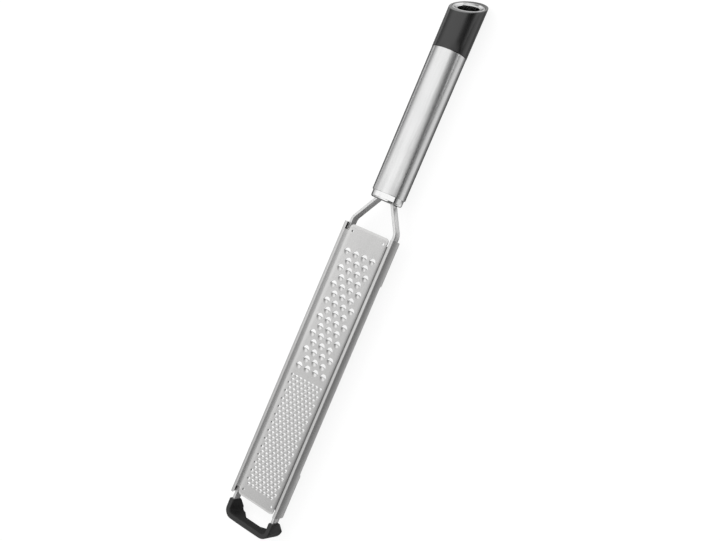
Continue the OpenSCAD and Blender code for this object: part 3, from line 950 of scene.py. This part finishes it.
def blade_section(s):
    """Place across and height above the face of the sheet's upper line, and its outward direction, at a
    distance s from the middle. The line runs along the slightly dished plate, up an arc, back to level
    over a small fold, along the rail's flat top and round its outer edge."""
    side, q = np.sign(s), np.abs(s)
    bend = np.clip((q - PLATE_HALF) / BEND_R, 0, BEND_A)
    fold = np.clip((q - S_BEND) / FOLD_R, 0, BEND_A)
    edge = np.clip((q - S_TOP) / EDGE_R, 0, math.pi / 2)
    flat = np.clip(q, 0, PLATE_HALF)
    top = np.clip(q - S_FOLD, 0, S_TOP - S_FOLD)
    dish = np.where(q < PLATE_HALF, -2 * DISH_SAG * flat / PLATE_HALF ** 2, 0)
    x = flat + BEND_R * np.sin(bend) + FOLD_R * (math.sin(BEND_A) - np.sin(BEND_A - fold)) + top \
        + EDGE_R * np.sin(edge)
    z = BEND_R * (1 - np.cos(bend)) + FOLD_R * (np.cos(BEND_A - fold) - math.cos(BEND_A)) \
        - EDGE_R * (1 - np.cos(edge))
    z = z - DISH_SAG * (1 - (flat / PLATE_HALF) ** 2)
    lean = edge - (bend - fold)
    tilt = np.arctan(dish)
    return side * x, z, side * np.sin(lean + tilt), np.cos(lean + tilt)


def corner_distance(x, y, edge_y, sign):
    """Distance inside the plate's end outline, which has round corners of CORNER_R."""
    inner = sign * (edge_y - y) - CORNER_R
    across = CORNER_X - CORNER_R - np.abs(x)
    round_part = np.hypot(np.minimum(inner, 0), np.minimum(across, 0))
    return np.where((inner < 0) & (across < 0), CORNER_R - round_part, CORNER_R + np.minimum(inner, across))


def end_rows(s, plate_edge, rail_end, field_y, sign):
    """Rows from one end of the blade to the nearest field of teeth. Beyond the slit's bottom the plate's
    rows run out to its rounded outline and the rails' rows to their square end."""
    slit_y = plate_edge - sign * SLIT_LENGTH
    past_holes = slit_y - sign * HOLE_ROWS
    to_field = past_holes[-1] + (field_y - past_holes[-1]) * np.linspace(0, 1, INNER_ROWS + 1)[1:]
    x = np.abs(blade_section(s)[0])
    overhang = np.clip(x - (CORNER_X - CORNER_R), 0, CORNER_R)
    reach = SLIT_LENGTH - CORNER_R + np.sqrt(CORNER_R ** 2 - overhang ** 2)
    least = END_STRAIGHT[0]
    over_plate = np.concatenate([
        least + (reach[None] - least) * ((END_SHARES[:, None] - END_LEAST_SHARE) / (1 - END_LEAST_SHARE)),
        END_STRAIGHT[:, None] + 0 * reach[None],
    ])
    shares = np.concatenate([END_SHARES, END_STRAIGHT / SLIT_LENGTH])[:, None]
    over_corner = reach[None] * np.minimum(1, over_plate / reach[None])
    plate_rows = np.where(reach[None] > CORNER_REACH, over_corner, reach[None] * shares)
    rail_rows = abs(rail_end - slit_y) * shares + 0 * reach[None]
    outward = np.where(x[None] <= CORNER_X + WELD, plate_rows, rail_rows)
    rest = np.concatenate([[slit_y], past_holes, to_field])[:, None] + 0 * s[None]
    return np.concatenate([slit_y + sign * outward, rest])


def row_step(tooth):
    """Distance between the rows of teeth, which stand in triangles of equal sides."""
    return tooth.pitch * math.sqrt(3) / 2


def tooth_patch(tooth):
    """One tooth on its cell of sheet, as rings of points from the tongue's middle out to the cell's
    border. The tongue's line is a low arch ahead, where it is cut free, and a half ellipse behind, where
    it runs into the sheet; the opening's far line is a taller and fuller arch with the same two ends. An
    arch is its height times a power of the cosine round the tooth. The rise falls from the tongue's tip
    as the square of one less the squared distance. Gives x, y and rise share, and which quads between
    rings are kept."""
    columns, rows = tooth.across, tooth.down
    around = 2 * (columns + rows)
    phi = np.linspace(0, 2 * math.pi, around, endpoint=False)
    front = np.cos(phi) > -ROUNDING
    ahead_share = np.abs(np.cos(phi))
    side_x, behind = tooth.half_w * np.sin(phi), tooth.behind * np.cos(phi)
    tongue = np.stack([side_x, np.where(front, tooth.free * ahead_share ** TONGUE_POWER, behind)], -1)
    opened = np.stack([side_x, np.where(front, tooth.tip * ahead_share ** OPENING_POWER, behind)], -1)
    centre = np.array([0, -TONGUE_MIDDLE_SHARE * tooth.behind])
    inner = [centre + (tongue - centre) * share for share in tooth.ring_shares]
    left, right = -tooth.pitch / 2, tooth.pitch / 2
    high = tooth.tip + tooth.margin
    low = high - row_step(tooth)
    top = np.linspace(left, right, columns + 1)
    side = np.linspace(high, low, rows + 1)
    half = columns // 2
    border = np.concatenate([
        np.stack([top[half:-1], np.full(columns - half, high)], -1),
        np.stack([np.full(rows, right), side[:-1]], -1),
        np.stack([top[:0:-1], np.full(columns, low)], -1),
        np.stack([np.full(rows, left), side[:0:-1]], -1),
        np.stack([top[:half], np.full(half, high)], -1),
    ])
    x, y = np.moveaxis(np.stack([*inner, opened, border]), -1, 0)
    spread = (x / tooth.half_w) ** 2 + ((y - tooth.free) / (tooth.free + tooth.behind)) ** 2
    rise = np.clip(1 - spread, 0, 1) ** 2
    rings = len(inner)
    rise[rings:] = np.where(front, 0, rise[rings:])
    rise[-1] = 0
    kept = np.ones((len(x) - 1, around), bool)
    kept[rings - 1] = np.cos(phi + math.pi / around) <= 0
    return x, y, rise, kept


def hole_patch(s, y, i0, i1, k0, k1, centre, radius):
    """Square of the grid with a round hole: its border points, and as many on the hole's circle."""
    ring = [(i0, k) for k in range(k0, k1)] + [(i, k1) for i in range(i0, i1)]
    ring += [(i1, k) for k in range(k1, k0, -1)] + [(i, k0) for i in range(i1, i0, -1)]
    rows, columns = np.array(ring).T
    border = np.stack([s[columns], y[rows, columns]], -1)
    away = border - centre
    circle = centre + radius * away / np.linalg.norm(away, axis=1)[:, None]
    return circle, border


def wall_rows():
    """Lower line of the rail's outer wall as one point for each of the wall's own rows: a tab with round
    corners at both ends and the shorter skirt between, with a small fillet at each step."""
    low, high = BLADE_LOW[1], BLADE_HIGH[1]
    fillet = TAB_DROP - SKIRT_DROP - TAB_CORNER_R
    half = [
        (low, SKIRT_DROP - TAB_DROP), (low, -TAB_DROP), (low + TAB_LENGTH, -TAB_DROP),
        (low + TAB_LENGTH, -SKIRT_DROP), ((low + high) / 2, -SKIRT_DROP),
    ]
    line = rounded_outline(half, [0, TAB_CORNER_R, TAB_CORNER_R, fillet, 0], 8, closed=False)[1:]
    spread = [line[:1]]
    for before, after in zip(line[:-1], line[1:]):
        parts = max(1, math.ceil(abs(after[0] - before[0]) / WALL_ROW_LENGTH))
        spread.append(before + (after - before) * np.linspace(0, 1, parts + 1)[1:, None])
    line = np.concatenate(spread)
    return np.concatenate([line, line[-2::-1] * [-1, 1] + [low + high, 0]])


def zip_lines(first, first_y, second, second_y):
    """Triangles between two lines of points that both run along y, as quads whose last corner repeats.
    Each step goes on along the line whose next point comes first."""
    faces, i, j = [], 0, 0
    while i < len(first) - 1 or j < len(second) - 1:
        go_first = j == len(second) - 1 or (i < len(first) - 1 and first_y[i + 1] <= second_y[j + 1])
        ahead = first[i + 1] if go_first else second[j + 1]
        faces.append((first[i], second[j], ahead, ahead))
        i, j = i + go_first, j + (not go_first)
    return np.array(faces)


def blade_mesh():
    """The blade's sheet, worked out flat and then laid over its section. Grid rows run along the tool and
    columns across the sheet; the fields of teeth and the corner holes are patches that share the grid's
    border points. The upper layer and the same layer a sheet's thickness below are joined by walls along
    every free edge."""
    flat_s = COARSE.pitch / COARSE.across * np.arange(2 * COARSE.across + 1)
    corner_x = CORNER_X - CORNER_R * (1 - np.sin(np.radians([35, 50, 65, 78, 90])))
    corner_s = PLATE_HALF + BEND_R * np.arcsin((corner_x - PLATE_HALF) / BEND_R)
    bend_s = np.concatenate([corner_s, np.linspace(corner_s[-1], S_BEND, 5)[1:]])
    slit_s = S_BEND + FOLD_R * (BEND_A - math.asin((FOLD_X - RAIL_IN_X) / FOLD_R))
    fold_s = np.array([(S_BEND + slit_s) / 2, slit_s, *np.linspace(slit_s, S_FOLD, 4)[1:]])
    top_s = np.linspace(S_FOLD, S_TOP, 4)[1:]
    edge_s = np.linspace(S_TOP, S_EDGE, 9)[1:]
    right = np.concatenate([flat_s, bend_s, fold_s, top_s, edge_s])
    s = np.concatenate([-right[:0:-1], right])

    coarse_top = BLADE_HIGH[1] - COARSE_START + COARSE.margin
    coarse_low = coarse_top - COARSE.rows * row_step(COARSE)
    fine_top = BLADE_LOW[1] + FINE_END + (FINE.rows - 1) * row_step(FINE) + FINE.margin
    fine_low = fine_top - FINE.rows * row_step(FINE)
    high_end = end_rows(s, BLADE_HIGH[1] - INSET_TOP, BLADE_HIGH[1], coarse_top, 1)
    low_end = end_rows(s, BLADE_LOW[1] + INSET_LOW, BLADE_LOW[1], fine_low, -1)[::-1]
    middle = np.concatenate([
        np.linspace(coarse_top, coarse_low, COARSE.rows * COARSE.down + 1)[1:],
        np.linspace(coarse_low, fine_top, FIELD_GAP_ROWS + 1)[1:],
        np.linspace(fine_top, fine_low, FINE.rows * FINE.down + 1)[1:-1],
    ])
    y = np.concatenate([high_end, middle[:, None] + 0 * s[None], low_end])
    rows, columns = y.shape
    quads = grid_quads(rows, columns).reshape(rows - 1, columns - 1, 4)
    kept = np.ones((rows - 1, columns - 1), bool)
    x = blade_section(s)[0]
    x_mid = np.abs(x[1:] + x[:-1]) / 2
    in_slit = (x_mid > CORNER_X) & (x_mid < RAIL_IN_X)
    kept[:OUTER_ROWS, in_slit] = False
    kept[-OUTER_ROWS:, in_slit] = False
    first_coarse = len(high_end) - 1
    first_fine = first_coarse + COARSE.rows * COARSE.down + FIELD_GAP_ROWS
    s_mid = np.abs(s[1:] + s[:-1]) / 2
    for first, tooth in ((first_coarse, COARSE), (first_fine, FINE)):
        for r in range(tooth.rows):
            half = FIELD_HALF - (r % 2) * tooth.pitch / 2
            kept[first + r * tooth.down:first + (r + 1) * tooth.down, s_mid < half] = False

    keys = [np.stack([np.broadcast_to(s, y.shape), y], -1).reshape(-1, 2)]
    rises = [np.zeros(y.size)]
    faces = []
    offset = y.size

    middle_k = len(right) - 1
    for i0, i1, hole_y in (
        (OUTER_ROWS - 2, OUTER_ROWS + 2, BLADE_HIGH[1] - INSET_TOP - CORNER_HOLE_INSET),
        (rows - OUTER_ROWS - 3, rows - OUTER_ROWS + 1, BLADE_LOW[1] + INSET_LOW + CORNER_HOLE_INSET)):
        for side in (-1, 1):
            k0, k1 = sorted(middle_k + side * k for k in HOLE_COLUMNS)
            kept[i0:i1, k0:k1] = False
            circle, border = hole_patch(s, y, i0, i1, k0, k1, np.array([side * CORNER_HOLE_X, hole_y]),
                                        CORNER_HOLE_R)
            ring = np.stack([circle, border])
            keys.append(ring.reshape(-1, 2))
            rises.append(np.zeros(2 * len(circle)))
            faces.append(offset + grid_quads(2, len(circle), round_columns=True))
            offset += 2 * len(circle)
    faces.insert(0, quads[kept])

    for tooth, top in ((COARSE, coarse_top), (FINE, fine_top)):
        px, py, share, keep = tooth_patch(tooth)
        per_long = round(2 * FIELD_HALF / tooth.pitch)
        grid_r, grid_i = np.meshgrid(np.arange(tooth.rows), np.arange(per_long), indexing="ij")
        real = grid_i < per_long - grid_r % 2
        centre_x = ((grid_i - (per_long - 1 - grid_r % 2) / 2) * tooth.pitch)[real]
        centre_y = (top - tooth.margin - tooth.tip - grid_r * row_step(tooth))[real]
        all_x = centre_x[:, None, None] + px
        all_y = centre_y[:, None, None] + py
        keys.append(np.stack([all_x, all_y], -1).reshape(-1, 2))
        rises.append(np.tile(tooth.rise * share, (len(centre_x), 1, 1)).reshape(-1))
        patch_quads = grid_quads(*px.shape, round_columns=True)[keep.reshape(-1)]
        starts = offset + np.arange(len(centre_x)) * px.size
        faces.append((starts[:, None, None] + patch_quads).reshape(-1, 4))
        offset += len(centre_x) * px.size

    keys, rises = np.concatenate(keys), np.concatenate(rises)
    at_s, at_y = keys.T
    px, pz, nx, nz = blade_section(at_s)
    lip = np.zeros(len(keys))
    for edge_y, sign in ((BLADE_HIGH[1] - INSET_TOP, 1), (BLADE_LOW[1] + INSET_LOW, -1)):
        inside = corner_distance(px, at_y, edge_y, sign)
        fade = np.clip((sign * (at_y - edge_y) + SLIT_LENGTH) / LIP_FADE, 0, 1)
        plate = np.abs(px) <= CORNER_X + WELD
        lip += np.where(plate, fade * np.clip(1 - inside / LIP_W, 0, 1) ** 2 * LIP_DROP, 0)
    level = rises - lip
    top_points = np.stack([px + nx * level, at_y, FACE_Z + pz + nz * level], -1)
    wall_grow = np.clip((np.abs(at_s) - S_TOP) / (S_EDGE - S_TOP), 0, 1)
    tongue_thin = 1 - TONGUE_THIN_SHARE * np.clip(rises / TONGUE_THIN_RISE, 0, 1)
    thick = SHEET_T * tongue_thin + (WALL_T - SHEET_T) * wall_grow
    low_points = top_points - np.stack([nx * thick, 0 * thick, nz * thick], -1)

    wall_top_z = RAIL_RISE - EDGE_R
    wall_keys, wall_top, wall_low, wall_faces = [], [], [], []
    wall_y, drop = wall_rows().T
    span = (wall_top_z - drop)[:, None]
    hem_r = WALL_T / 2
    left = np.concatenate([(1 - WALL_SHARES) * (span - hem_r) + hem_r, HEM + 0 * span], 1)
    tuck = hem_r - np.sqrt(np.clip(hem_r ** 2 - np.clip(hem_r - left, 0, None) ** 2, 0, None))
    tuck = np.minimum(tuck, hem_r - HEM_LEAST)
    place_y, place_z = wall_y[:, None] + 0 * left, FACE_Z + drop[:, None] + left
    wall_count = left.shape[1]
    extra = np.arange(1, wall_count + 1)
    for side, column in ((-1, 0), (1, columns - 1)):
        wall_keys.append(np.stack([side * (S_EDGE + extra)[None] + 0 * left, place_y], -1).reshape(-1, 2))
        for layer, x in ((wall_top, BLADE_HIGH[0] - tuck), (wall_low, BLADE_HIGH[0] - WALL_T + tuck)):
            layer.append(np.stack([side * x, place_y, place_z], -1).reshape(-1, 3))
        wall_faces.append(offset + grid_quads(len(wall_y), wall_count))
        edge_points = (np.arange(rows) * columns + column)[::-1]
        wall_points = offset + np.arange(len(wall_y)) * wall_count
        wall_faces.append(zip_lines(edge_points, y[::-1, column], wall_points, wall_y))
        offset += len(wall_y) * wall_count
    keys = np.concatenate([keys, *wall_keys])
    top_points = np.concatenate([top_points, *wall_top])
    low_points = np.concatenate([low_points, *wall_low])

    first, whole, thin = weld(keys, np.concatenate(faces + wall_faces))
    return closed_sheet("toothed_blade_sheet", top_points[first], low_points[first], whole, thin)


def closed_sheet(name, top, low, quads, triangles):
    """Closed mesh of two layers with the same faces, joined by walls along the edges that only one face
    has. The edge attribute is 1 on those edges."""
    ends = [np.stack([f, np.roll(f, -1, axis=1)], -1).reshape(-1, 2) for f in (quads, triangles)]
    edges = np.concatenate(ends)
    _, index, count = np.unique(np.sort(edges, axis=1), axis=0, return_index=True, return_counts=True)
    free = edges[index[count == 1]]
    n = len(top)
    walls = np.stack([free[:, 0], free[:, 1], free[:, 1] + n, free[:, 0] + n], -1)
    edge = np.zeros(2 * n)
    edge[np.unique(walls)] = 1
    return build_mesh(
        name, np.concatenate([top, low]),
        np.concatenate([quads, quads[:, ::-1] + n, walls]),
        np.concatenate([triangles, triangles[:, ::-1] + n]), {"edge": edge})


def blade():
    return make_piece("toothed_blade", blade_mesh(), blade_finish(), "blade_steel", "blade")


# Floor, light and camera

def camera_share(tree):
    """1 for a ray from the camera, also through glass, and 0 for light and reflections."""
    path = tree.nodes.new("ShaderNodeLightPath").outputs
    return maths(tree, "ADD", path["Is Camera Ray"], path["Is Transmission Ray"], True)


def floor():
    """Pale floor. Its own colour is lit and shows the tool's soft shadow, and a glow towards the camera makes
    it white. Reflections see the same floor with a painted glow that is weaker close to the tool: a painted
    shadow under and beside it, and painted light in bands round it."""
    half = FLOOR_HALF
    grid = np.array([[(-half, -half, FLOOR_Z), (half, -half, FLOOR_Z)],
                     [(-half, half, FLOOR_Z), (half, half, FLOOR_Z)]])
    mesh = surface("studio_floor", grid)
    piece = add_object("studio_floor", mesh)
    material, tree, shader = new_material("pale_floor")
    shader.inputs["Base Color"].default_value = (*grey(FLOOR_GREY), 1)
    shader.inputs["Roughness"].default_value = 0.9
    shader.inputs["Specular IOR Level"].default_value = 0.0
    shader.inputs["Emission Color"].default_value = (1, 1, 1, 1)
    path = tree.nodes.new("ShaderNodeLightPath").outputs
    # Painted shade and light: in reflections the floor glows by place, dimmed under the tool as a painted
    # shadow
    painted_reflection_glow = product(tree, path["Is Glossy Ray"], floor_painted_reflection_light(tree))
    glow = maths(tree, "ADD", product(tree, camera_share(tree), FLOOR_GLOW), painted_reflection_glow)
    tree.links.new(glow, shader.inputs["Emission Strength"])
    mesh.materials.append(material)


def floor_painted_reflection_light(tree):
    """Painted light and shade of the floor in reflections, by the place on the floor: a painted shadow keeps
    the glow low under the tool, and painted light rises in bands below the neck and beside the skirt and the
    handle, highest beyond the cap, and fading to both sides."""
    split = tree.nodes.new("ShaderNodeSeparateXYZ")
    tree.links.new(stretched(tree, 1, 1, 1), split.inputs[0])
    x, y, _ = split.outputs
    under = mix_values(tree, ramp(tree, y, *HANDLE_FROM), ramps(tree, x, UNDER_SKIRT, BESIDE_SKIRT),
                       ramp(tree, x, *UNDER_HANDLE))
    handle = product(tree, ramps(tree, x, *BESIDE_HANDLE), ramp(tree, y, *BESIDE_HANDLE_FROM))
    neck = product(tree, ramps(tree, x, *NECK_ACROSS), ramps(tree, y, *NECK_ALONG))
    level = under
    for other in (handle, ramp(tree, x, *FAR_LEFT), neck, ramp(tree, y, *BEYOND_CAP)):
        level = maths(tree, "MAXIMUM", level, other)
    return level


def world():
    """Studio round the tool, white for the camera. Light and reflections see a soft dome by direction:
    the lift is the angle up from the right, over the top, to the left, and y is the direction's share
    along the tool. A dark flag at the right turns along the tool, the collar, tube, legs and blade each
    see their own part of the dome, and the dome dims towards the foot."""
    scene_world = bpy.data.worlds.new("soft_studio")
    bpy.context.scene.world = scene_world
    scene_world.use_nodes = True
    tree = scene_world.node_tree
    place = tree.nodes.new("ShaderNodeTexCoord").outputs["Generated"]
    split = tree.nodes.new("ShaderNodeSeparateXYZ")
    tree.links.new(place, split.inputs[0])
    x, y, z = split.outputs
    lift = maths(tree, "MULTIPLY", maths(tree, "ARCTAN2", z, x), math.degrees(1))
    off = maths(tree, "SUBTRACT", lift, ramp(tree, y, *FLAG_MIDDLE))
    above = ramp(tree, off, ramp(tree, y, *FLAG_EDGE_FROM), ramp(tree, y, *FLAG_EDGE_TO))
    flag = ramp(tree, maths(tree, "MAXIMUM", above, ramp(tree, off, *FLAG_BELOW)), 0, 1, FLAG_LEVEL, 1.0)
    left_end = mix_values(tree, ramp(tree, y, *TUBE_SIDE), ramp(tree, lift, *LEFT_OF_COLLAR),
                          ramp(tree, lift, *LEFT_OF_TUBE))
    handle_level = maths(tree, "MULTIPLY", left_end, ramp(tree, y, *COLLAR_GAIN))
    right_end = ramp(tree, lift, *LOW_RIGHT, ramp(tree, y, *LOW_RIGHT_LEVEL), 1.0)
    blade_level = maths(tree, "MULTIPLY", right_end, ramps(tree, lift, *BLADE_LIFTS))
    level = mix_values(tree, ramp(tree, y, *BLADE_SIDE), handle_level, blade_level)
    on_legs = product(tree, ramps(tree, y, *LEGS_ALONG), ramps(tree, lift, *LEGS_LIFTS))
    beside = maths(tree, "MAXIMUM", ramp(tree, lift, *FRONT_RIGHT), ramp(tree, lift, *FRONT_LEFT))
    in_front = maths(tree, "MULTIPLY", ramp(tree, y, *FRONT_FROM), beside)
    level = product(tree, level, ramp(tree, on_legs, 0, 1, 1.0, LEGS_LEVEL),
                    ramp(tree, in_front, 0, 1, 1.0, FRONT_LEVEL))
    along = ramps(tree, y, *TO_FOOT)
    studio = product(tree, level, flag, along)
    back = tree.nodes["Background"]
    back.inputs["Color"].default_value = (1, 1, 1, 1)
    tree.links.new(mix_values(tree, camera_share(tree), studio, 1.0), back.inputs["Strength"])


def key_light():
    """Large soft lamp above and to the left, which gives the shadow its side. It is hidden from
    reflections."""
    lamp = bpy.data.lights.new("soft_key", "AREA")
    lamp.shape = "RECTANGLE"
    lamp.size = LAMP_SIZE
    lamp.size_y = LAMP_SIZE
    lamp.energy = LAMP_ENERGY
    piece = add_object("soft_key", lamp)
    piece.location = LAMP_PLACE
    aim = Vector((0, 0, 0)) - piece.location
    piece.rotation_euler = aim.to_track_quat("-Z", "Y").to_euler()
    piece.visible_glossy = False


def camera():
    """Camera of the photograph: high above the tool's right side, turned so that the handle leans
    right. The roll turns the frame's up direction about the line of sight."""
    data = bpy.data.cameras.new("photo_camera")
    data.lens = CAMERA_LENS
    data.sensor_width = CAMERA_SENSOR
    data.sensor_fit = "HORIZONTAL"
    data.clip_start = CAMERA_CLIP
    place = Vector(CAMERA_PLACE) * MM
    back = (place - Vector(CAMERA_AIM) * MM).normalized()
    up = (Vector((0, 1, 0)) - back * back.y).normalized()
    right = up.cross(back)
    turn = math.radians(CAMERA_ROLL)
    up, right = up * math.cos(turn) + right * math.sin(turn), right * math.cos(turn) - up * math.sin(turn)
    piece = add_object("photo_camera", data)
    piece.matrix_world = Matrix((
        (right.x, up.x, back.x, place.x),
        (right.y, up.y, back.y, place.y),
        (right.z, up.z, back.z, place.z),
        (0, 0, 0, 1),
    ))
    bpy.context.scene.camera = piece


camera()
world()
key_light()
floor()
handle_tube()
collar()
end_cap()
eye_ring()
frame_strip()
blade()
foot()
core = frame["nodes"]["tang_core"]
core.data.materials.clear()
core.data.materials.append(core_finish())

bpy.context.scene.view_settings.view_transform = "Standard"
